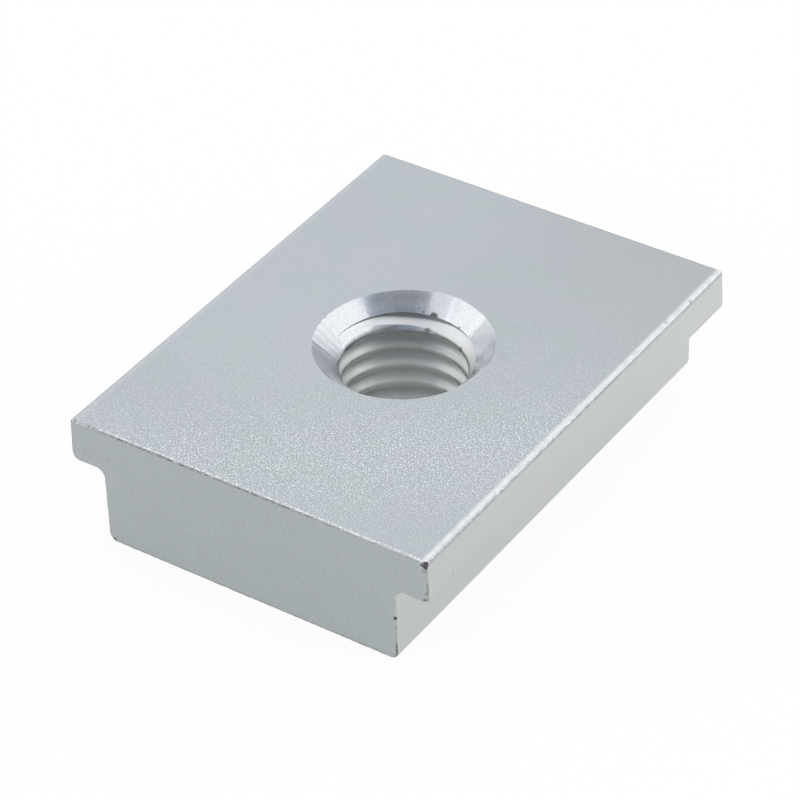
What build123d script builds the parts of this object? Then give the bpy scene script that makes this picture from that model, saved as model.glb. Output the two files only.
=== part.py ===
from build123d import *

import os

# A t-track slider: a short length of T-shaped aluminium extrusion with a threaded hole
# through its middle. The wide flange runs under the lips of a track, and the narrower
# neck fills the track's mouth.
# It lies as in the photograph, on the flat end of the neck, with the flange on top.
# X is its width, Y is its length along the track and Z is up. The origin is where the
# axis of the hole meets the face that it lies on.

# The T section, in millimetres
neck_width = 18.8  # across the neck, a sliding fit in the mouth of the track
neck_height = 4.75  # from the resting face up to the shoulders
overhang = 2.1  # how far each side of the flange stands out past the neck, at its lower edge
flange_thickness = 2.65
flange_taper = 0.1  # how much less it stands out at the top edge
corner_radius = 0.5  # the two lower edges of the neck and the two of the flange
root_radius = 0.5  # where each shoulder meets the neck
top_radius = 0.2  # the two long edges of the top face

# The sawn length, in millimetres
length = 30.0
saw_break = 0.1  # how far the sharp edge round each sawn end is broken

# The threaded hole, in millimetres and degrees
thread_diameter = 8.0
thread_height = 0.5  # along a radius, from the root of the thread to its crest
top_lead_in = 1.0  # how far the upper countersink spreads past the thread, all round
lower_lead_in = 0.3  # the same for the light countersink on the resting face
countersink_angle = 90.0  # the included angle of both countersinks

# What follows from those
flange_width = neck_width + 2 * overhang
overall_height = neck_height + flange_thickness
crest_radius = thread_diameter / 2 - thread_height
top_rim_radius = thread_diameter / 2 + top_lead_in
lower_rim_radius = thread_diameter / 2 + lower_lead_in

sawn_end = Plane.XZ.offset(length / 2)  # the near end; its own Y points up
top_face = Plane.XY.offset(overall_height)
resting_face = -Plane.XY


with BuildPart() as slider:
    # Half of the T section, from the middle of the resting face to the middle of the top
    with BuildSketch(sawn_end):
        with BuildLine():
            FilletPolyline(
                (0, 0),
                (neck_width / 2, 0),
                (neck_width / 2, neck_height),
                (flange_width / 2, neck_height),
                (flange_width / 2 - flange_taper, overall_height),
                (0, overall_height),
                radius=(corner_radius, root_radius, corner_radius, top_radius),
            )
            mirror(about=Plane.YZ)
        make_face()
    extrude(amount=-length)

    # The saw leaves a sharp edge all round both ends, which is only just broken
    sawn_faces = slider.faces().filter_by(Axis.Y)
    chamfer(sawn_faces.edges(), length=saw_break)

    # The hole is as wide as the crest of its thread, and a bolt can enter from either face
    with Locations(top_face):
        CounterSinkHole(crest_radius, top_rim_radius, counter_sink_angle=countersink_angle)
    with Locations(resting_face):
        CounterSinkHole(crest_radius, lower_rim_radius, counter_sink_angle=countersink_angle)

slider.part.label = "slider"

os.makedirs("parts", exist_ok=True)
export_step(slider.part, "parts/slider.step")
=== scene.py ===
import math

import bmesh
import bpy
from mathutils import Matrix, Vector, noise


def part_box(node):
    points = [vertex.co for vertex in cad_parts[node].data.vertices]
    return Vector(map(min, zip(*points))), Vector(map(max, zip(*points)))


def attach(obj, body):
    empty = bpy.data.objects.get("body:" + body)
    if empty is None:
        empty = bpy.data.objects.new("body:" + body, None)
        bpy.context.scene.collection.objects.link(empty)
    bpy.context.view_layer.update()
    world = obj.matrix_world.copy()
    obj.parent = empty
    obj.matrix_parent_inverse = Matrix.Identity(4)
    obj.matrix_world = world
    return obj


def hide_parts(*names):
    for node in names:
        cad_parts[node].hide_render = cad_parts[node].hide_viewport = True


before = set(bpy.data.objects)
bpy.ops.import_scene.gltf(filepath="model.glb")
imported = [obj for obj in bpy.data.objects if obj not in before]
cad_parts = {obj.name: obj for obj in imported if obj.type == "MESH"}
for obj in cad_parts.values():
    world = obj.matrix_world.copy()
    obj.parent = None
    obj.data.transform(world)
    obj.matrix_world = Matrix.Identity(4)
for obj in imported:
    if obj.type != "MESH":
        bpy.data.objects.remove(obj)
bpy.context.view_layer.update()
print("frame loaded")

millimetre = 0.001  # meshes are shaped in millimetres and brought to metres when they are done
smallest = 0.001  # a shorter length, in millimetres, counts as none

# The camera stands where the photograph was taken from
camera = {
    "place": (91.867, -131.623, 126.016),  # millimetres
    "heading": 35.0253,  # degrees, turned left from +Y
    "elevation": 37.3459,  # how far it looks down
    "roll": -2.0896,
    "lens": 164.691,
    "sensor": 36.0,
    "clip": (0.01, 20),  # metres
}


def turned(degrees, axis):
    return Matrix.Rotation(math.radians(degrees), 4, axis)


def addCamera():
    data = bpy.data.cameras.new("photoCamera")
    data.lens = camera["lens"]
    data.sensor_width = camera["sensor"]
    data.clip_start, data.clip_end = camera["clip"]
    eye = bpy.data.objects.new("photoCamera", data)
    aim = turned(camera["heading"], "Z") @ turned(90 - camera["elevation"], "X") @ turned(camera["roll"], "Z")
    eye.matrix_world = Matrix.Translation(Vector(camera["place"]) * millimetre) @ aim
    bpy.context.scene.collection.objects.link(eye)
    bpy.context.scene.camera = eye


addCamera()
print("camera placed")


def between(low, high, share):
    # low where the share is 0, and high where it is 1
    return low + (high - low) * share


class Wire:
    # an output socket; arithmetic on it adds Math nodes
    def __init__(self, graph, socket):
        self.graph = graph
        self.socket = socket

    def math(self, operation, *values):
        return self.graph.node("ShaderNodeMath", {"operation": operation}, dict(enumerate(values)))

    def __add__(self, other):
        return self.math("ADD", self, other)

    def __sub__(self, other):
        return self.math("SUBTRACT", self, other)

    def __rsub__(self, other):
        return self.math("SUBTRACT", other, self)

    def __mul__(self, other):
        return self.math("MULTIPLY", self, other)

    def __abs__(self):
        return self.math("ABSOLUTE", self)

    __radd__ = __add__
    __rmul__ = __mul__


class Graph:
    def __init__(self, owner):
        owner.use_nodes = True
        self.tree = owner.node_tree
        self.tree.nodes.clear()

    def node(self, kind, settings=None, inputs=None, output=0):
        made = self.tree.nodes.new(kind)
        for name, value in (settings or {}).items():
            setattr(made, name, value)
        for key, value in (inputs or {}).items():
            if isinstance(value, Wire):
                self.tree.links.new(value.socket, made.inputs[key])
            else:
                made.inputs[key].default_value = value
        return Wire(self, made.outputs[output]) if made.outputs else None

    def rise(self, value, low, high):
        # 0 at low and 1 at high, with soft ends
        settings = {"interpolation_type": "SMOOTHSTEP"}
        return self.node("ShaderNodeMapRange", settings, {"Value": value, "From Min": low, "From Max": high})

    def span(self, value, limits):
        # two limits are where it is 0 and where it is 1, and two more are where it fades and ends
        share = self.rise(value, *limits[:2])
        return share if len(limits) == 2 else share * self.rise(value, *reversed(limits[2:]))

    def mix(self, amount, first, second, blend="MIX"):
        # in a colour mix the two colours are inputs 6 and 7, and the result is output 2
        settings = {"data_type": "RGBA", "blend_type": blend}
        return self.node("ShaderNodeMix", settings, {0: amount, 6: first, 7: second}, 2)

    def split(self, vector):
        return [self.node("ShaderNodeSeparateXYZ", None, {0: vector}, axis) for axis in range(3)]

    def place(self):
        # the point on the piece, in millimetres
        point = self.node("ShaderNodeTexCoord", output="Object")
        return self.scaled(point, 1 / millimetre)

    def scaled(self, vector, factor):
        return self.node("ShaderNodeVectorMath", {"operation": "SCALE"}, {0: vector, "Scale": factor})

    def dot(self, vector, fixed):
        return self.node("ShaderNodeVectorMath", {"operation": "DOT_PRODUCT"}, {0: vector, 1: fixed}, "Value")

    def distance(self, vector, fixed):
        return self.node("ShaderNodeVectorMath", {"operation": "DISTANCE"}, {0: vector, 1: fixed}, "Value")

    def noise(self, vector, scale, detail=2.0, roughness=0.5):
        inputs = {"Vector": vector, "Scale": scale, "Detail": detail, "Roughness": roughness}
        return self.node("ShaderNodeTexNoise", None, inputs)


blastedSkin = bpy.data.materials.new("blastedSkin")
sawnFace = bpy.data.materials.new("sawnFace")
machinedCone = bpy.data.materials.new("machinedCone")
tappedThread = bpy.data.materials.new("tappedThread")
chippedMetal = bpy.data.materials.new("chippedMetal")

# The body is the T section, sawn off at both ends
body = {
    "neckWidth": 18.8,
    "neckHeight": 4.75,
    "overhang": 2.1,  # of the flange's lower edge past the neck
    "taper": 0.1,  # how much less it stands out at the top
    "corners": {"radius": 0.5, "steps": 8},  # of the flange's lower edges and the neck's
    "topCorners": {"radius": 0.12, "steps": 4},
    "sawBreak": 0.1,  # width of the broken edge round each sawn end
    "sawSteps": 3,
    "burrStep": 0.1,  # spacing of the points along it
    "burrDepth": 0.02,
    "farBurrDepth": 0.006,
    "burrSeed": 9,  # per millimetre; it sets each row of points apart from the next
    "squareOn": 0.99,  # a face is a sawn one where its normal lies along Y by more than this share
}
wearNoise = {"scale": 3.2, "dimension": 0.7, "lacunarity": 2.0, "octaves": 3}
lowCorner, highCorner = [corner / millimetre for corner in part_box("slider")]
nearEnd = lowCorner.y
farEnd = highCorner.y
halfLength = (farEnd - nearEnd) / 2
height = highCorner.z
topEdge = body["neckWidth"] / 2 + body["overhang"] - body["taper"]


def tSection(bm):
    neck = body["neckWidth"] / 2
    shoulder = body["neckHeight"]
    half = [(neck, 0), (neck, shoulder), (neck + body["overhang"], shoulder), (topEdge, height)]
    outline = half + [(-x, z) for x, z in reversed(half)]
    corners = [bm.verts.new((x, nearEnd, z)) for x, z in outline]
    bm.faces.new(corners)
    top = [corner for corner in corners if corner.co.z > (shoulder + height) / 2]
    others = [corner for corner in corners if corner not in top]
    for picked, rounding in ((top, body["topCorners"]), (others, body["corners"])):
        bmesh.ops.bevel(bm, geom=picked, offset=rounding["radius"], offset_type="OFFSET",
                        segments=rounding["steps"], profile=0.5, affect="VERTICES", material=-1)


def endEdges(bm):
    return [e for e in bm.edges if abs(e.verts[0].co.y - e.verts[1].co.y) < smallest]


def unevenness(point, seed):
    # a rough value from 0 to 1 that is the same at each run
    where = point * wearNoise["scale"] + Vector((seed, 0, 0))
    level = noise.fractal(where, wearNoise["dimension"], wearNoise["lacunarity"], wearNoise["octaves"])
    return min(1, max(0, 0.5 + level))


def roughenEnds(bm):
    # the broken edges are pressed in unevenly, and never outwards; the faces that they join stay flat
    bm.normal_update()
    moves = {}
    for v in bm.verts:
        depth = halfLength - abs(v.co.y)
        push = v.normal.copy()
        if depth < smallest:
            push.y = 0
        elif depth > body["sawBreak"] - smallest:
            push.x = push.z = 0
        if push.length > smallest:
            reach = body["burrDepth"] if v.co.y < 0 else body["farBurrDepth"]
            moves[v] = push.normalized() * reach * unevenness(v.co, depth * body["burrSeed"])
    for v, move in moves.items():
        v.co -= move


def buildBody():
    bm = bmesh.new()
    tSection(bm)
    grown = bmesh.ops.extrude_face_region(bm, geom=bm.faces[:])
    far = [item for item in grown["geom"] if isinstance(item, bmesh.types.BMVert)]
    bmesh.ops.translate(bm, verts=far, vec=(0, farEnd - nearEnd, 0))
    bmesh.ops.recalc_face_normals(bm, faces=bm.faces)
    for edge in endEdges(bm):
        cuts = round(edge.calc_length() / body["burrStep"]) - 1
        if cuts > 0:
            bmesh.ops.bisect_edges(bm, edges=[edge], cuts=cuts)
    bmesh.ops.bevel(bm, geom=endEdges(bm), offset=body["sawBreak"], offset_type="OFFSET",
                    segments=body["sawSteps"], profile=0.5, affect="EDGES", material=-1)
    roughenEnds(bm)
    for face in bm.faces:
        face.material_index = 1 if abs(face.normal.y) > body["squareOn"] else 0
    return bm


# The hole is tapped, and countersunk from both faces
hole = {
    "pitch": 1.25,
    "crestRadius": 3.5,
    "rootRadius": 4.15,
    "flank": 30.0,  # degrees
    "rootFlat": 0.2,
    "crestSoftening": {"offset": 0.15, "segments": 4},
    "rootSoftening": {"offset": 0.05, "segments": 2},
    "rootHeight": 5.969,  # of one root, where it passes over +X
    "steps": 192,  # to a turn
    "turns": 8,
    "turnsBelow": 6,  # of those, below that root
    "weld": 0.003,  # how far apart the points of two turns may be to be joined
    "rimRadius": 5.0,
    "lowerRimRadius": 4.3,
    "lip": 0.04,
    "overshoot": 1.0,  # how far the cutting shape of a countersink stands out past the face
    # the cone turns down into the hole a little outside the crests
    "mouth": {"outside": 0.15, "draw": 0.24, "drop": 0.56, "softening": 0.2, "steps": 6},
    # flats that the countersink left on the upper rim, in millimetres and degrees
    "chatter": [
        {"depth": 0.09, "every": 42.0, "start": 70, "from": 70, "to": 112},
        {"depth": 0.055, "every": 7.0, "start": 148, "from": 148, "to": 218},
    ],
    # the first root is torn wider towards the far side, in millimetres and degrees
    "tear": {"drop": 0.15, "from": 82, "to": 142, "reach": 0.3, "inside": 0.06},
}


def angleOf(point):
    return math.degrees(math.atan2(point.y, point.x)) % 360


def hump(angle, spread):
    # 0 at both ends of the spread and outside it, and 1 at its middle
    share = (angle - spread["from"]) / (spread["to"] - spread["from"])
    return math.sin(math.pi * share) if 0 < share < 1 else 0


def buildThread():
    # one pitch of the thread's outline, spun once round and repeated up the hole
    bm = bmesh.new()
    pitch = hole["pitch"]
    crest = hole["crestRadius"]
    root = hole["rootRadius"]
    slope = (root - crest) * math.tan(math.radians(hole["flank"]))
    halfCrest = (pitch - 2 * slope - hole["rootFlat"]) / 2
    outline = [(crest, 0), (crest, halfCrest), (root, halfCrest + slope), (root, pitch - halfCrest - slope),
               (crest, pitch - halfCrest), (crest, pitch)]
    start = hole["rootHeight"] - (hole["turnsBelow"] + 0.5) * pitch
    chain = [bm.verts.new((radius, 0, start + rise)) for radius, rise in outline]
    for lower, upper in zip(chain, chain[1:]):
        bm.edges.new((lower, upper))
    crests = [chain[1], chain[4]]
    roots = [chain[2], chain[3]]
    for picked, rounding in ((roots, hole["rootSoftening"]), (crests, hole["crestSoftening"])):
        bmesh.ops.bevel(bm, geom=picked, offset_type="OFFSET", profile=0.5, affect="VERTICES", material=-1,
                        **rounding)
    bmesh.ops.spin(bm, geom=bm.verts[:] + bm.edges[:], cent=(0, 0, 0), axis=(0, 0, 1),
                   dvec=(0, 0, pitch / hole["steps"]), angle=math.tau, steps=hole["steps"], use_merge=False,
                   use_duplicate=False)
    firstTurn = bm.verts[:] + bm.edges[:] + bm.faces[:]
    for turn in range(1, hole["turns"]):
        copied = bmesh.ops.duplicate(bm, geom=firstTurn)["geom"]
        moved = [item for item in copied if isinstance(item, bmesh.types.BMVert)]
        bmesh.ops.translate(bm, verts=moved, vec=(0, 0, turn * pitch))
    bmesh.ops.remove_doubles(bm, verts=bm.verts, dist=hole["weld"])
    tearRoot(bm)
    # each open end is closed to a point on the axis, well outside the part
    openEdges = [e for e in bm.edges if e.is_boundary]
    middle = start + hole["turns"] * pitch / 2
    for side, apex in ((-1, start - pitch), (1, start + (hole["turns"] + 2) * pitch)):
        loop = [e for e in openEdges if (e.verts[0].co.z - middle) * side > 0]
        grown = bmesh.ops.extrude_edge_only(bm, edges=loop)
        tip = [item for item in grown["geom"] if isinstance(item, bmesh.types.BMVert)]
        bmesh.ops.pointmerge(bm, verts=tip, merge_co=(0, 0, apex))
    bmesh.ops.recalc_face_normals(bm, faces=bm.faces)
    return bm


def tearRoot(bm):
    tear = hole["tear"]
    for v in bm.verts:
        angle = angleOf(v.co)
        below = hole["rootHeight"] + hole["pitch"] * angle / 360 - v.co.z
        if 0 < below < tear["reach"] and v.co.xy.length > hole["rootRadius"] - tear["inside"]:
            v.co.z -= tear["drop"] * hump(angle, tear)


def buildCone(rimRadius, rimHeight, side):
    # a countersink of 90 degrees that opens upwards where side is 1, and downwards where it is -1
    bm = bmesh.new()
    lip = hole["lip"]
    over = hole["overshoot"]
    mouth = hole["mouth"]
    inner = hole["crestRadius"] + mouth["outside"]
    outline = [(0, -rimRadius - over), (inner - mouth["draw"], inner - rimRadius - mouth["drop"]),
               (inner, inner - rimRadius), (rimRadius - lip, -lip), (rimRadius + 2 * lip, lip),
               (rimRadius + 2 * lip, over), (0, over)]
    chain = [bm.verts.new((radius, 0, rimHeight + side * rise)) for radius, rise in outline]
    for lower, upper in zip(chain, chain[1:]):
        bm.edges.new((lower, upper))
    bmesh.ops.bevel(bm, geom=[chain[2]], offset=mouth["softening"], offset_type="OFFSET",
                    segments=mouth["steps"], profile=0.5, affect="VERTICES", material=-1)
    bmesh.ops.spin(bm, geom=bm.verts[:] + bm.edges[:], cent=(0, 0, 0), axis=(0, 0, 1), dvec=(0, 0, 0),
                   angle=math.tau, steps=2 * hole["steps"], use_merge=True, use_duplicate=False)
    bmesh.ops.remove_doubles(bm, verts=bm.verts, dist=smallest)
    bmesh.ops.recalc_face_normals(bm, faces=bm.faces)
    if side > 0:
        addChatter(bm)
    return bm


def addChatter(bm):
    for v in bm.verts:
        if v.co.xy.length > hole["rootRadius"]:
            angle = angleOf(v.co)
            for chatter in hole["chatter"]:
                bite = abs(math.sin(math.pi * (angle - chatter["start"]) / chatter["every"]))
                v.co.xy += v.co.xy.normalized() * chatter["depth"] * hump(angle, chatter) * bite


# Places where the metal has broken away, each a centre, a reach in millimetres and how finely it is shaped
chips = {
    "nearCorner": ((11.41, -15.632, 7.50), 0.818, 4),
    "neckEdge": ((9.34, -15.03, 2.87), 0.125, 2),
    "neckEdgeLow": ((9.43, -15.02, 1.45), 0.08, 2),
    "lowerLeft": ((-9.05, -15.02, 0.2), 0.1, 2),
}
chipWear = {"least": 0.95, "most": 1.05, "seed": 3}


def buildChips():
    bm = bmesh.new()
    for centre, reach, fineness in chips.values():
        grown = bmesh.ops.create_icosphere(bm, subdivisions=fineness, radius=reach)
        for v in grown["verts"]:
            uneven = unevenness(v.co + Vector(centre), chipWear["seed"])
            v.co *= between(chipWear["least"], chipWear["most"], uneven)
        bmesh.ops.translate(bm, verts=grown["verts"], vec=centre)
    return bm


def asObject(bm, name, *materials):
    mesh = bpy.data.meshes.new(name)
    bm.to_mesh(mesh)
    bm.free()
    for material in materials:
        mesh.materials.append(material)
    made = bpy.data.objects.new(name, mesh)
    bpy.context.scene.collection.objects.link(made)
    return made


def cutAway(target, tools):
    for tool in tools:
        cut = target.modifiers.new(tool.name, "BOOLEAN")
        cut.operation = "DIFFERENCE"
        cut.solver = "MANIFOLD"
        cut.material_mode = "TRANSFER"
        cut.object = tool
    view = bpy.context.evaluated_depsgraph_get()
    result = bpy.data.meshes.new_from_object(target.evaluated_get(view), depsgraph=view)
    target.modifiers.clear()
    target.data = result
    for tool in tools:
        bpy.data.objects.remove(tool)


shading = {
    "weld": 0.0005,  # millimetres
    "sharpAngle": 32,  # degrees; an edge that turns more than this is crisp
}


def finishMesh(piece):
    bm = bmesh.new()
    bm.from_mesh(piece.data)
    bmesh.ops.remove_doubles(bm, verts=bm.verts, dist=shading["weld"])
    bmesh.ops.dissolve_degenerate(bm, edges=bm.edges, dist=shading["weld"])
    # the cone and the thread meet in a crisp edge, however shallow it is
    machined = {i for i, m in enumerate(piece.data.materials) if m in (machinedCone, tappedThread)}
    for edge in bm.edges:
        touching = {face.material_index for face in edge.link_faces}
        turn = edge.calc_face_angle(math.pi)
        edge.smooth = turn < math.radians(shading["sharpAngle"]) and touching != machined
    for face in bm.faces:
        face.smooth = True
    print("mesh:", len(bm.faces), "faces,", sum(not e.is_manifold for e in bm.edges), "open edges")
    bmesh.ops.scale(bm, vec=(millimetre,) * 3, verts=bm.verts)
    bm.to_mesh(piece.data)
    bm.free()
    even = piece.modifiers.new("even", "WEIGHTED_NORMAL")
    even.keep_sharp = True


slider = asObject(buildBody(), "sliderBody", blastedSkin, sawnFace)
cutAway(slider, [
    asObject(buildThread(), "threadTool", tappedThread),
    asObject(buildCone(hole["rimRadius"], height, 1), "upperConeTool", machinedCone),
    asObject(buildCone(hole["lowerRimRadius"], 0, -1), "lowerConeTool", machinedCone),
    asObject(buildChips(), "chipTool", chippedMetal),
])
finishMesh(slider)
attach(slider, "root")
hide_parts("slider")
print("slider built")

# In the finishes below heights, places and reaches are in millimetres, angles are in radians from +X round
# the hole, and a scale is turns of the noise per millimetre. A gain is how much is added, as a share. Limits
# are those of Graph.span.
shared = {
    # paintedHighlight is the colour of the painted highlights on the long edges and the burr
    "paintedHighlight": (0.845, 0.868, 0.90, 1),
    # sootAndShade is the colour of the dark marks, and of the painted shade on the sawn edges and at the sawn
    # faces' foot
    "sootAndShade": (0.17, 0.175, 0.185, 1),
    "swarf": (0.09, 0.10, 0.10, 1),
}
smudge = {"scale": 8.0, "least": 0.6, "most": 1.4, "core": 0.4}  # the ragged outline of a mark
noiseMean = 0.5


def metal(graph, colour, roughness, normal=None, **fixed):
    inputs = {"Base Color": colour, "Metallic": 1.0, "Roughness": roughness, **fixed}
    if normal:
        inputs["Normal"] = normal
    shader = graph.node("ShaderNodeBsdfPrincipled", None, inputs)
    graph.node("ShaderNodeOutputMaterial", None, {"Surface": shader})


def patches(graph, place, scale, low, high):
    return graph.rise(graph.noise(place, scale, detail=3.0, roughness=0.6), low, high)


def marked(graph, place, colour, marks, darkening="sootAndShade"):
    ragged = between(smudge["least"], smudge["most"], graph.noise(place, smudge["scale"]))
    for centre, reach, strength in marks.values():
        off = graph.distance(place, centre) * ragged
        amount = graph.rise(off, reach, reach * smudge["core"]) * strength
        colour = graph.mix(amount, colour, shared[darkening])
    return colour


# The blasted and anodised skin of the extrusion
skin = {
    "top": (0.517, 0.558, 0.594, 1),
    # the sides' colour is lighter than the top's: painted light on the same skin
    "side": (0.611, 0.640, 0.641, 1),
    "topRound": (-0.12, -0.03),  # where a side turns into the top face, from that face
    "footRound": (0.3, 0.05),  # where it turns into the resting face
    "light": 0.96,
    "roughness": 0.3,
    "relief": {"Strength": 0.15, "Distance": 0.00002},
    # painted light and shade: the top face is painted lighter on the left, and darker towards its far right
    # corner
    "left": {"gain": 0.045, "across": (3, -6), "along": (-12, -4)},
    "farRightShade": {"colour": (0.500, 0.530, 0.553, 1), "fade": (8, 26)},
    # it has a faint cast, greener in places and pinker in others
    "green": (0.985, 1.01, 0.98, 1),
    "pink": (1.015, 0.99, 1.02, 1),
    "castScale": 0.35,
    # the sides are mottled; the neck is painted lighter, as painted light, and a band just above the flange's
    # lower edge is painted darker, as painted shade
    "sideGain": 0.008,
    "neck": {"gain": 0.025, "heights": (4.9, 4.6)},
    "mottle": {"gain": 0.05, "scale": 3.5},
    "flangeShade": {"gain": -0.07, "heights": (4.9, 4.97, 5.07, 5.2)},
}
# The grain shows most in a band across the top face, measured along a level direction
grain = {
    "scale": 15.0,
    "gain": 2.1,
    "speckScale": 12.0,
    # glints are painted highlights, bright specks added to the colour
    "glints": (0.58, 0.76),
    "speckGain": 0.8,
    "along": (-0.456, 0.651, 0.0),
    "middle": -8.0,
    "least": 0.1,
    "spreads": [{"reach": 5.5, "gain": 0.55}, {"reach": 14.0, "gain": 0.35}],
}
# The long top edges get a painted highlight, with a thin line of painted dark reflection below the bright
# one. Their stretches are measured outwards from the top face's edge, and the way down the side counts in
# part.
longEdge = {
    "downShare": 0.76,
    "shift": 0.02,
    "lean": 0.0027,  # how much the lines near the middle, per millimetre towards the far end
    "heights": (-0.5, -0.4),  # from the top face
    "bright": (-0.48, -0.23, -0.13, 0.02),
    "sides": (-1, 1),  # from the left edge to the right one
    "leftShare": 0.15,
    "highlightPatches": {"scale": 1.6, "low": 0.4, "high": 0.55},
    "leastHighlight": 0.72,
    "darkLine": (-0.06, 0.04, 0.12, 0.24),
    "unevenness": {"scale": 2.5, "low": 0.4, "high": 0.6},
    "leastDark": 0.17,
    "mostDark": 0.35,
    "farShare": 0.6,
    "farFade": (-2, 10),
}
# The broken edge round each sawn end is painted darker, with a thin line of painted shade under the burr
# along the top edge, and at the near end of the top face the burr behind it is flecked with painted
# highlights. Depths are measured from the sawn face.
sawnEdge = {
    "top": (-0.12, -0.09),  # heights from the top face, where the top edge sets in
    "crisp": (-0.09, -0.05),
    "begun": (-10.4, -9.2),  # the burr begins a little past the left corner
    "right": (2, 8),
    "flecks": {"scale": 4.6, "low": 0.47, "high": 0.53},
    "leastFleck": 0.5,
    "rightCrisp": 0.45,  # how crisp the dark line still is on the right
    "topDarkening": 0.3,
    "crispDarkening": 0.75,
    "lowDarkening": {"least": 0.36, "gain": 0.3, "heights": [(4.7, 4.9), (3.4, 2.4), (1.9, 0.9)]},
    "lowPatches": {"scale": 1.7, "low": 0.4, "high": 0.6},
    "leastPatch": 0.5,
    "depths": (0.085, 0.04),
    "topReach": 0.03,  # how much deeper the darkening reaches along the top edge
    "burrBack": (0.27, 0.21),
    "burrFront": (0.10, 0.14),
    "rightReach": 0.05,  # how much nearer to the sawn face the burr comes on the right
    "nearEnd": (5, -5),
    "leftBurr": 0.95,
    "rightBurr": 0.65,
    "rightGround": 0.15,  # what of the burr shows between its flecks on the right
}
# Nicks, pits and smudges, each a centre, a reach and a strength
skinMarks = {
    "farNick": ((11.34, 11.5, 7.38), 0.15, 0.45),
    "middleNick": ((11.16, 9.12, 7.4), 0.14, 0.35),
    "leftCorner": ((-11.12, -14.93, 7.4), 0.13, 0.8),
    "leftEdge": ((-10.2, -14.9, 7.4), 0.16, 0.5),
    "leftEdgeSmall": ((-9.85, -14.9, 7.4), 0.12, 0.6),
    "topSmudge": ((5.3, 1.8, 7.4), 0.4, 0.1),
    "sidePit": ((11.48, -12.74, 5.26), 0.13, 0.3),
    "sidePitSmall": ((11.45, -11.49, 5.98), 0.1, 0.2),
    "flangeEdge": ((11.38, -14.97, 5.44), 0.1, 0.6),
    "flangeFoot": ((11.3, -14.97, 4.9), 0.24, 0.9),
}


def grainLight(graph, place, grains):
    band = abs(graph.dot(place, grain["along"]) - grain["middle"])
    clear = grain["least"]
    for spread in grain["spreads"]:
        clear = clear + spread["gain"] * graph.rise(band, spread["reach"], 0)
    # painted glints: bright specks in the colour
    glints = graph.span(graph.noise(place, grain["speckScale"], detail=0.0), grain["glints"])
    return clear * ((grains - noiseMean) * grain["gain"] + glints * grain["speckGain"])


def sideLight(graph, place, z):
    neck = skin["neck"]
    mottle = skin["mottle"]
    # the neck's painted light
    light = skin["sideGain"] + neck["gain"] * graph.span(z, neck["heights"])
    return light + (graph.noise(place, mottle["scale"]) - noiseMean) * mottle["gain"]


def highlightLongEdges(graph, place, colour):
    x, y, z = graph.split(place)
    down = height - z
    edge = abs(x) - topEdge + down * longEdge["downShare"] + longEdge["shift"] - y * longEdge["lean"]
    rim = graph.span(z - height, longEdge["heights"])
    # the painted highlight along the long top edges
    edgeHighlight = graph.span(edge, longEdge["bright"]) * rim
    edgeHighlight = edgeHighlight * between(longEdge["leftShare"], 1.0, graph.span(x, longEdge["sides"]))
    edgeHighlight = edgeHighlight * between(longEdge["leastHighlight"], 1.0, patches(graph, place, **longEdge["highlightPatches"]))
    colour = graph.mix(edgeHighlight, colour, shared["paintedHighlight"])
    # the thin painted dark reflection below it, uneven along its length
    darkLine = graph.span(edge, longEdge["darkLine"]) * rim
    uneven = between(longEdge["leastDark"], longEdge["mostDark"], patches(graph, place, **longEdge["unevenness"]))
    uneven = uneven * between(1.0, longEdge["farShare"], graph.span(y, longEdge["farFade"]))
    return graph.scaled(colour, 1.0 - darkLine * uneven)


def darkenAndHighlightSawnEdges(graph, place, colour):
    x, y, z = graph.split(place)
    depth = halfLength - abs(y)
    top = graph.span(z - height, sawnEdge["top"])
    begun = graph.span(x, sawnEdge["begun"])
    right = graph.span(x, sawnEdge["right"])
    flecks = patches(graph, place, **sawnEdge["flecks"])
    # the thin line of painted shade under the burr
    crisp = graph.span(z - height, sawnEdge["crisp"]) * begun
    crisp = crisp * between(sawnEdge["leastFleck"], 1.0, flecks) * between(1.0, sawnEdge["rightCrisp"], right)
    low = sawnEdge["lowDarkening"]
    lowDarkening = low["least"]
    for heights in low["heights"]:
        lowDarkening = lowDarkening + low["gain"] * graph.span(z, heights)
    lowDarkening = lowDarkening * between(sawnEdge["leastPatch"], 1.0, patches(graph, place, **sawnEdge["lowPatches"]))
    darkening = between(lowDarkening, sawnEdge["topDarkening"] + sawnEdge["crispDarkening"] * crisp, top)
    darkening = darkening * graph.span(depth - top * sawnEdge["topReach"], sawnEdge["depths"])
    colour = graph.mix(darkening, colour, shared["sootAndShade"])
    # the burr's flecks of painted highlight
    burrHighlight = graph.span(depth, sawnEdge["burrBack"])
    burrHighlight = burrHighlight * graph.span(depth + right * sawnEdge["rightReach"], sawnEdge["burrFront"])
    burrHighlight = burrHighlight * top * begun * graph.span(y, sawnEdge["nearEnd"])
    burrHighlight = burrHighlight * (flecks * between(sawnEdge["leftBurr"], sawnEdge["rightBurr"], right)
                   + right * sawnEdge["rightGround"])
    return graph.mix(burrHighlight, colour, shared["paintedHighlight"])


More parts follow.
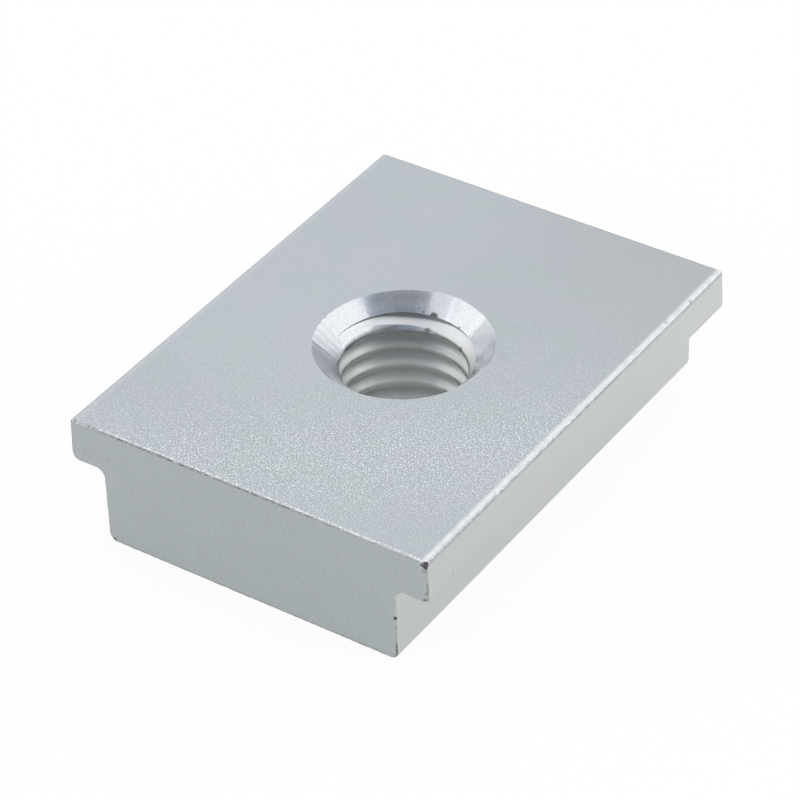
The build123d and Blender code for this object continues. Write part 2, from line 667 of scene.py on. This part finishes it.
def finishSkin():
    graph = Graph(blastedSkin)
    place = graph.place()
    x, y, z = graph.split(place)
    flat = graph.span(z - height, skin["topRound"]) + graph.span(z, skin["footRound"])
    grains = graph.noise(place, grain["scale"], detail=1.0)
    left = skin["left"]
    light = skin["light"] + flat * grainLight(graph, place, grains)
    # painted light on the left of the top face
    light = light + flat * left["gain"] * graph.span(x, left["across"]) * graph.span(y, left["along"])
    light = light + (1.0 - flat) * sideLight(graph, place, z)
    # painted shade just above the flange's lower edge
    flangeShade = skin["flangeShade"]
    light = light * (1.0 + flangeShade["gain"] * graph.span(z, flangeShade["heights"]))
    cast = graph.mix(graph.noise(place, skin["castScale"], detail=1.0), skin["green"], skin["pink"])
    farRightShade = skin["farRightShade"]
    colour = graph.mix(flat, skin["side"], skin["top"])
    colour = graph.mix(1.0, colour, cast, "MULTIPLY")
    # painted shade towards the top face's far right corner
    colour = graph.mix(graph.span(x + y, farRightShade["fade"]) * flat, colour, farRightShade["colour"])
    colour = graph.scaled(colour, light)
    colour = highlightLongEdges(graph, place, colour)
    colour = darkenAndHighlightSawnEdges(graph, place, colour)
    colour = marked(graph, place, colour, skinMarks)
    relief = graph.node("ShaderNodeBump", None, {**skin["relief"], "Height": grains})
    metal(graph, colour, skin["roughness"], relief)


# The two sawn faces
sawn = {
    "colour": (0.450, 0.490, 0.513),
    "light": 0.82,
    "clouds": {"gain": 0.06, "scale": 0.7},
    "mottle": {"gain": 0.31, "scale": 5.0},
    # the foot of each sawn face is painted darker, as painted shade where it meets the floor
    "foot": {"darkening": 0.3, "heights": (0.24, 0.12)},
    "roughness": 0.35,
}
sawnMarks = {
    "highPit": ((-10.54, -15.0, 5.55), 0.14, 0.2),
    "middlePit": ((-8.97, -15.0, 5.72), 0.16, 0.2),
    "lowPit": ((-6.79, -15.0, 4.95), 0.12, 0.15),
    "underCorner": ((11.26, -15.0, 6.88), 0.2, 0.35),
    "flangeEdge": ((11.34, -15.0, 5.42), 0.15, 0.6),
    "flangeFoot": ((11.24, -15.0, 4.92), 0.22, 0.8),
}


def finishSawn():
    graph = Graph(sawnFace)
    place = graph.place()
    z = graph.split(place)[2]
    clouds = graph.noise(place, sawn["clouds"]["scale"])
    mottle = graph.noise(place, sawn["mottle"]["scale"], detail=3.0)
    light = sawn["light"] + clouds * sawn["clouds"]["gain"] + mottle * sawn["mottle"]["gain"]
    # painted shade at the foot
    foot = graph.span(z, sawn["foot"]["heights"]) * sawn["foot"]["darkening"]
    colour = graph.scaled(sawn["colour"], light)
    colour = graph.mix(foot, colour, shared["sootAndShade"])
    colour = marked(graph, place, colour, sawnMarks)
    metal(graph, colour, sawn["roughness"])


# The machined countersinks; most of what follows is seen on the upper one
cone = {
    "colour": (0.555, 0.571, 0.587),
    "light": 0.725,
    "streaks": {"gain": 0.08, "across": 16.0, "down": 0.15},
    "grain": {"gain": 0.28, "scale": 10.0},
    "mottle": {"gain": 0.18, "scale": 4.0},
    "bluish": (0.965, 1.0, 1.02, 1),
    "pinkish": (1.005, 0.995, 1.015, 1),
    "castPatches": {"scale": 3.0, "low": 0.35, "high": 0.65},
    "relief": {"Strength": 0.5, "Distance": 0.000006},
    "turned": {"Anisotropic": 0.95, "Anisotropic Rotation": 0.25},
    # the side towards the camera is rougher
    "nearSide": {"along": (0.292, -0.956, 0.0), "reach": (0.7, 1.9)},
    "roughness": 0.17,
    "nearRoughness": 0.3,
}
# Painted reflections and shade: where it is painted lighter or darker. The gains in one list add up, and the
# lists multiply.
coneShades = {
    "right": [
        {"angle": (-0.95, -0.5, 0.97, 1.01), "gain": 0.22},
        {"angle": (-0.95, -0.5, 0.02, 0.24), "gain": 0.75},
        {"angle": (0.49, 0.72, 0.97, 1.01), "gain": 0.38},
    ],
    "lowRight": [{"angle": (0.06, 0.2, 0.34, 0.5), "height": (6.68, 6.42), "gain": 0.75}],
    "step": [
        {"angle": (0.75, 0.95, 0.98, 1.01), "gain": -0.1},
        {"angle": (0.98, 1.01, 1.01, 1.25), "gain": 0.14},
    ],
    "far": [{"angle": (1.4, 1.52, 1.65, 1.78), "gain": -0.08}],
    # the dark sector, a painted dark reflection
    "darkSector": [
        {"angle": (1.82, 1.87, 2.35, 2.8), "height": (6.2, 6.5), "gain": -0.05},
        {"angle": (1.82, 1.87, 2.35, 2.8), "height": (6.7, 7.25), "gain": -0.25},
    ],
    "left": [
        {"angle": (-2.3, -2.0, -1.6, -1.2), "gain": -0.12},
        {"angle": (-2.3, -2.0, -1.6, -1.2), "slant": (7.15, 6.8), "gain": 0.58},
    ],
    # the turned lip between the cone and the hole
    "farLip": [
        {"angle": (1.6, 1.9, 2.25, 2.55), "height": (5.75, 6.0, 6.1, 6.3), "gain": 0.35},
        {"angle": (1.6, 1.9, 2.25, 2.55), "height": (5.82, 5.68), "gain": -0.15},
    ],
    "leftLip": [{"leftwards": (2.85, 3.35), "height": (6.1, 5.85), "gain": -0.54}],
    "nearLeftLip": [{"nearLeftwards": (3.4, 3.58), "height": (6.2, 6.0), "gain": 0.9}],
}
coneWays = {"leftwards": (-0.94, 0.342, 0.0), "nearLeftwards": (-0.906, -0.423, 0.0)}
slant = {"angle": -2.09, "slope": 1.5}  # heights are counted from a slanted line on the left
# fringe is a painted darker, bluer shade low on the far left of the cone
fringe = {"colour": (0.68, 0.71, 0.79, 1), "angle": (2.28, 2.5, 2.56, 2.75), "height": (6.2, 6.5)}
coneMarks = {
    "lipBlob": ((-0.72, 4.01, 6.44), 0.34, 1.0),
    "lipLeft": ((-1.34, 3.95, 6.56), 0.12, 0.5),
    "lipRight": ((1.04, 3.90, 6.42), 0.13, 0.6),
    "firstCrest": ((-0.77, 3.46, 5.84), 0.24, 0.7),
    "leftCrest": ((-2.39, 2.66, 5.92), 0.1, 0.4),
    "farCrest": ((-3.60, 0.41, 6.03), 0.1, 0.35),
}


def coneLight(graph, place, angle, grains):
    z = graph.split(place)[2]
    streaked = {0: angle * cone["streaks"]["across"], 1: z * cone["streaks"]["down"]}
    streaks = graph.noise(graph.node("ShaderNodeCombineXYZ", None, streaked), 1.0)
    mottle = graph.noise(place, cone["mottle"]["scale"])
    light = cone["light"] + streaks * cone["streaks"]["gain"]
    light = light + grains * cone["grain"]["gain"] + mottle * cone["mottle"]["gain"]
    values = {"angle": angle, "height": z, "slant": z - (angle - slant["angle"]) * slant["slope"]}
    for way, along in coneWays.items():
        values[way] = graph.dot(place, along)
    for shades in coneShades.values():
        total = 1.0
        for shade in shades:
            gain = shade["gain"]
            for name, value in values.items():
                if name in shade:
                    gain = gain * graph.span(value, shade[name])
            total = total + gain
        light = light * total
    return light


def finishCone():
    graph = Graph(machinedCone)
    place = graph.place()
    x, y, z = graph.split(place)
    angle = x.math("ARCTAN2", y, x)
    grains = graph.noise(place, cone["grain"]["scale"], detail=1.0)
    colour = graph.scaled(cone["colour"], coneLight(graph, place, angle, grains))
    fringed = graph.span(angle, fringe["angle"]) * graph.span(z, fringe["height"])
    colour = graph.mix(fringed, colour, fringe["colour"], "MULTIPLY")
    cast = graph.mix(patches(graph, place, **cone["castPatches"]), cone["bluish"], cone["pinkish"])
    colour = graph.mix(1.0, colour, cast, "MULTIPLY")
    colour = marked(graph, place, colour, coneMarks, "swarf")
    nearSide = graph.span(graph.dot(place, cone["nearSide"]["along"]), cone["nearSide"]["reach"])
    roughness = between(cone["roughness"], cone["nearRoughness"], nearSide)
    relief = graph.node("ShaderNodeBump", None, {**cone["relief"], "Height": grains})
    metal(graph, colour, roughness, relief, **cone["turned"])


# The tapped thread; its colours are painted light and shade: its deeper turns are painted darker in the
# middle, and least of all at the sides, with lighter and darker bands painted on their crests, roots and
# shoulders, and the turns low in the hole painted lighter
thread = {
    "face": (0.63, 0.64, 0.645, 1),
    "land": (0.60, 0.615, 0.645, 1),
    "shadedMiddle": (0.50, 0.52, 0.51, 1),
    "crest": (0.62, 0.65, 0.62, 1),
    "sideCrest": (0.80, 0.84, 0.82, 1),
    "root": (0.66, 0.68, 0.67, 1),
    "sideRoot": (0.45, 0.48, 0.47, 1),
    "shoulder": (0.43, 0.455, 0.445, 1),
    "low": (0.95, 0.97, 0.95, 1),
    "firstRoot": (0.42, 0.45, 0.445, 1),
    "firstSideRoot": (0.68, 0.71, 0.71, 1),
    "sideways": (0.82, 0.572, 0.0),
    "middleReach": (2.6, 0.9),  # from the sides inwards
    "roughness": 0.42,
    "middleRoughness": 0.3,
}
# The heights and the distances from the axis at which its colours set in
threadHeights = {"land": (5.9, 6.1), "deep": (6.1, 5.2), "sideRoot": (5.85, 5.6), "low": (5.4, 2.6),
                 "firstRoot": (6.0, 6.25)}
threadRadii = {"crest": (3.575, 3.51), "shoulder": (3.84, 3.64), "root": (3.8, 4.05), "sideRoot": (3.72, 3.9),
               "firstRoot": (3.84, 4.12)}
shoulderRight = {"across": (-1.6, -0.4, 1.2, 2.2), "least": 0.45, "most": 1.2}
lowShare = {"side": 0.43, "shadedMiddle": 0.85}
threadMarks = {
    "firstCrest": ((-0.77, 3.46, 5.84), 0.2, 0.7),
    "rightCrest": ((1.6, 3.1, 5.66), 0.22, 0.6),
    "leftCrest": ((-2.39, 2.66, 5.92), 0.1, 0.4),
    "farCrest": ((-3.60, 0.41, 6.03), 0.1, 0.35),
}


def finishThread():
    graph = Graph(tappedThread)
    place = graph.place()
    x, y, z = graph.split(place)
    radius = graph.distance(graph.node("ShaderNodeCombineXYZ", None, {0: x, 1: y}), (0, 0, 0))
    out = {name: graph.span(radius, limits) for name, limits in threadRadii.items()}
    down = {name: graph.span(z, limits) for name, limits in threadHeights.items()}
    deep = down["deep"]
    # the middle, away from the hole's sides, where the deeper turns are painted darker as painted shade
    shadedMiddle = graph.span(abs(graph.dot(place, thread["sideways"])), thread["middleReach"])
    side = 1.0 - shadedMiddle
    colour = graph.mix(down["land"], thread["face"], thread["land"])
    colour = graph.mix(deep * shadedMiddle, colour, thread["shadedMiddle"])
    right = graph.span(x, shoulderRight["across"])
    shoulder = out["shoulder"] * deep * side * between(shoulderRight["least"], shoulderRight["most"], right)
    colour = graph.mix(shoulder, colour, thread["shoulder"])
    crest = graph.mix(shadedMiddle, thread["sideCrest"], thread["crest"])
    colour = graph.mix(out["crest"] * deep, colour, crest)
    colour = graph.mix(out["root"] * deep * shadedMiddle, colour, thread["root"])
    colour = graph.mix(out["sideRoot"] * down["sideRoot"] * side, colour, thread["sideRoot"])
    low = down["low"] * between(lowShare["side"], lowShare["shadedMiddle"], shadedMiddle)
    colour = graph.mix(low, colour, thread["low"])
    firstRoot = graph.mix(shadedMiddle, thread["firstSideRoot"], thread["firstRoot"])
    colour = graph.mix(out["firstRoot"] * down["firstRoot"], colour, firstRoot)
    colour = marked(graph, place, colour, threadMarks, "swarf")
    metal(graph, colour, thread["roughness"] + thread["middleRoughness"] * deep * shadedMiddle)


# The broken metal of the chips, painted dark as painted shade in their hollows; the rim of the one at the
# near corner has a painted highlight
chipLook = {
    "colour": (0.155, 0.14, 0.16),
    "light": 0.5,
    "mottle": {"gain": 0.8, "scale": 3.0},
    "rim": {"gain": 5.0, "heights": (7.12, 7.36), "across": (11.25, 10.95)},
    "roughness": 0.5,
}


def finishChips():
    graph = Graph(chippedMetal)
    place = graph.place()
    x, _, z = graph.split(place)
    mottle = graph.noise(place, chipLook["mottle"]["scale"], detail=3.0)
    rim = graph.span(z, chipLook["rim"]["heights"]) * graph.span(x, chipLook["rim"]["across"])
    light = chipLook["light"] + mottle * chipLook["mottle"]["gain"]
    # painted highlight on the near corner chip's rim
    light = light * (1.0 + chipLook["rim"]["gain"] * rim)
    metal(graph, graph.scaled(chipLook["colour"], light), chipLook["roughness"])


finishSkin()
finishSawn()
finishCone()
finishThread()
finishChips()
print("finishes made")

# The studio: two long softboxes, a pale room with a dark gap on the camera's side, and a white floor.
# Azimuths and elevations are in degrees, seen from the object, with azimuth 0 towards the camera and
# positive to its right.
studio = {
    "lampDistance": 0.7,  # metres
    "breadth": 44,  # degrees across each softbox
    "brightness": 0.6,  # of each softbox, above the room's
    "softboxes": {  # the two ends of each
        "rightSoftbox": ((55.5, 45.7), (134.0, 6.0)),
        "leftSoftbox": ((-74, 39), (-115.5, 19.3)),
    },
}
# The room as the metal mirrors it; what is seen and what lights the object is plain
white = (1, 1, 1, 1)
room = {
    "gap": {
        "tone": (0.31, 0.345, 0.43, 1),
        "azimuths": (-40.5, -39, 57, 61),
        "elevations": (-5, 5, 60, 68),
        "rightFade": {"azimuths": (8, 58), "share": 0.13},
        "leftFade": {"azimuths": (-12, -38), "share": 0.7},
    },
    "behind": {"tone": (0.70, 0.71, 0.74, 1), "azimuths": (100, 125), "elevations": (22, 14)},
    "left": {
        "azimuths": (-84, -80, -41, -38),
        "elevations": (26, 32, 60, 66),
        "toneFade": (-40, -80),
        "tones": ((1.08, 1.10, 1.18, 1), (1.45, 1.45, 1.49, 1)),
    },
    "overhead": {
        "elevations": (60, 68),
        "toneFade": (0.08, 0.45),  # sideways, as a sine
        "tones": ((0.92, 0.93, 0.96, 1), (1.5, 1.5, 1.53, 1)),
    },
    "slant": {"towards": (0.0, -0.5), "level": 0.62, "gain": 0.5},  # behind, it is brighter higher up
    "fill": 0.75,  # what lights the parts that mirror nothing
}
floorLook = {
    "radius": 3.0,  # metres
    "steps": 96,
    "gap": 0.02,  # millimetres below the part
    "colour": (0.9, 0.9, 0.9, 1),
    "mirrored": (1.0, 0.995, 0.955, 1),
    "seenGain": 0.022,
    "farGain": {"gain": 0.12, "along": (-25, 25)},  # millimetres
    "glow": (4.1, 4.3),  # millimetres; the floor inside the hole gives no light of its own
    "seenGlow": 0.9,
    "mirroredGlow": 0.6,
}
towardsCamera = Vector((camera["place"][0], camera["place"][1], 0)).normalized()
cameraRight = Vector((-towardsCamera.y, towardsCamera.x, 0))


def direction(azimuth, elevation):
    a = math.radians(azimuth)
    e = math.radians(elevation)
    level = towardsCamera * math.cos(a) + cameraRight * math.sin(a)
    return level * math.cos(e) + Vector((0, 0, math.sin(e)))


def addSoftboxes():
    distance = studio["lampDistance"]
    for name, (firstEnd, secondEnd) in studio["softboxes"].items():
        first = direction(*firstEnd)
        second = direction(*secondEnd)
        data = bpy.data.lights.new(name, "AREA")
        data.shape = "RECTANGLE"
        data.size = 2 * distance * math.tan(first.angle(second) / 2)
        data.size_y = 2 * distance * math.tan(math.radians(studio["breadth"]) / 2)
        data.energy = studio["brightness"] * math.pi * data.size * data.size_y
        away = (first + second).normalized()
        long = (first - second).normalized()
        facing = Matrix((long, away.cross(long), away)).transposed().to_4x4()
        lamp = bpy.data.objects.new(name, data)
        lamp.matrix_world = Matrix.Translation(away * distance) @ facing
        bpy.context.scene.collection.objects.link(lamp)


def roomTone(graph, azimuth, elevation, right, glossy):
    gap = room["gap"]
    dark = graph.span(azimuth, gap["azimuths"]) * graph.span(elevation, gap["elevations"])
    for fade in (gap["rightFade"], gap["leftFade"]):
        dark = dark * between(1.0, fade["share"], graph.span(azimuth, fade["azimuths"]))
    tone = graph.mix(dark * glossy, white, gap["tone"])
    behind = room["behind"]
    shut = graph.span(abs(azimuth), behind["azimuths"]) * graph.span(elevation, behind["elevations"])
    tone = graph.mix(shut * glossy, tone, behind["tone"])
    left = room["left"]
    spill = graph.span(azimuth, left["azimuths"]) * graph.span(elevation, left["elevations"])
    tone = graph.mix(spill * glossy, tone, graph.mix(graph.span(azimuth, left["toneFade"]), *left["tones"]))
    above = room["overhead"]
    overhead = graph.span(elevation, above["elevations"]) * glossy
    return graph.mix(overhead, tone, graph.mix(graph.span(abs(right), above["toneFade"]), *above["tones"]))


def lightRoom():
    world = bpy.data.worlds.new("studioRoom")
    bpy.context.scene.world = world
    graph = Graph(world)
    point = graph.node("ShaderNodeTexCoord", output="Generated")
    towards = graph.dot(point, towardsCamera)
    right = graph.dot(point, cameraRight)
    up = graph.split(point)[2]
    azimuth = towards.math("ARCTAN2", right, towards) * math.degrees(1)
    elevation = towards.math("ARCSINE", up) * math.degrees(1)
    glossy = graph.node("ShaderNodeLightPath", output="Is Glossy Ray")
    seen = graph.node("ShaderNodeLightPath", output="Is Camera Ray")
    tone = roomTone(graph, azimuth, elevation, right, glossy)
    slant = room["slant"]
    slanted = graph.span(towards, slant["towards"]) * glossy * ((up - slant["level"]) * slant["gain"])
    strength = seen + (1.0 - seen) * (1.0 + slanted) * between(room["fill"], 1.0, glossy)
    shader = graph.node("ShaderNodeBackground", None, {"Color": tone, "Strength": strength})
    graph.node("ShaderNodeOutputWorld", None, {"Surface": shader})


def addFloor():
    bm = bmesh.new()
    lowered = Matrix.Translation((0, 0, -floorLook["gap"] * millimetre))
    bmesh.ops.create_circle(bm, cap_ends=True, segments=floorLook["steps"], radius=floorLook["radius"],
                            matrix=lowered)
    material = bpy.data.materials.new("paleFloor")
    floor = asObject(bm, "floor", material)
    graph = Graph(material)
    place = graph.place()
    y = graph.split(place)[1]
    seen = graph.node("ShaderNodeLightPath", output="Is Camera Ray")
    glossy = graph.node("ShaderNodeLightPath", output="Is Glossy Ray")
    far = floorLook["farGain"]
    tint = graph.mix(glossy, white, floorLook["mirrored"])
    strength = 1.0 + seen * floorLook["seenGain"] + glossy * graph.span(y, far["along"]) * far["gain"]
    glow = graph.span(graph.distance(place, (0, 0, 0)), floorLook["glow"])
    glow = glow * (seen * floorLook["seenGlow"] + glossy * floorLook["mirroredGlow"])
    pale = graph.node("ShaderNodeBsdfDiffuse", None, {"Color": floorLook["colour"]})
    lit = graph.node("ShaderNodeEmission", None, {"Color": tint, "Strength": strength})
    shader = graph.node("ShaderNodeMixShader", None, {0: glow, 1: pale, 2: lit})
    # from below the floor is clear, so that the resting face can be looked at
    below = graph.node("ShaderNodeNewGeometry", output="Backfacing")
    clear = graph.node("ShaderNodeBsdfTransparent")
    shader = graph.node("ShaderNodeMixShader", None, {0: below, 1: shader, 2: clear})
    graph.node("ShaderNodeOutputMaterial", None, {"Surface": shader})


addSoftboxes()
lightRoom()
addFloor()
bpy.context.scene.view_settings.view_transform = "Standard"
print("studio lit")
